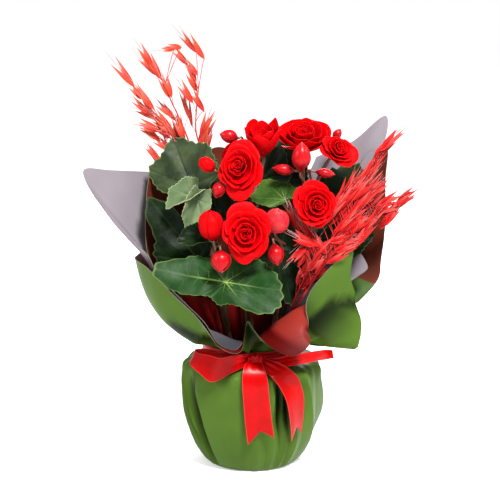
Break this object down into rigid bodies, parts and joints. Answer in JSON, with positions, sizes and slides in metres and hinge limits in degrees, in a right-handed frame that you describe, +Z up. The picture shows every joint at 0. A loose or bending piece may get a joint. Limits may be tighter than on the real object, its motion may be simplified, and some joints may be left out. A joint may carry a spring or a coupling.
{
  "type": "potted begonia",
  "caption": "Double red begonia in a nursery pot, gift wrapped in gathered two-tone film with grey inner sheets, a satin bow round the neck and sprays of dyed dried oats.",
  "frame": {"origin": "middle of the wrap's flat bottom, on the surface that it stands on", "axes": "+Z up along the pot's axis; the bow, the blooms' faces and the two ribbon tails look to -Y; +X to the viewer's right"},
  "size_m": [0.3439, 0.1837, 0.454],
  "materials": {
    "pot_plastic": "matt thin nursery pot plastic",
    "soil": "loose crumbly potting mix",
    "two_tone_film": "matt film, green on one face and brick red on the other",
    "grey_film": "pearly translucent film",
    "satin_ribbon": "satin",
    "leaf": "soft leaf with pale veins, green stalks",
    "petal": "velvety petal",
    "dried_oats": "dry husk, dyed"
  },
  "bodies": {
    "root": {"nursery_pot": "pot_plastic", "potting_soil": "soil", "outer_wrap": "two_tone_film", "grey_sheet_left": "grey_film", "back_sheet": "two_tone_film", "grey_sheet_right": "grey_film", "ribbon": "satin_ribbon", "leafy_stem_left": "leaf", "leafy_stem_front": "leaf", "leafy_stem_middle": "leaf", "leafy_stem_right": "leaf", "leafy_stem_back_right": "leaf", "leafy_stem_back": "leaf", "bloom_1": "petal", "bloom_2": "petal", "bloom_3": "petal", "bloom_4": "petal", "bloom_5": "petal", "bloom_6": "petal", "bloom_7": "petal", "bud_top_left": "petal", "bud_left": "petal", "bud_dark": "petal", "bud_open": "petal", "bud_round": "petal", "bud_oval": "petal", "bud_low": "petal", "bud_tulip": "petal", "bud_side_left": "petal", "bud_side_right": "petal", "bud_top_right": "petal", "oat_spray_left": "dried_oats", "oat_spray_right": "dried_oats"}
  },
  "joints": []
}
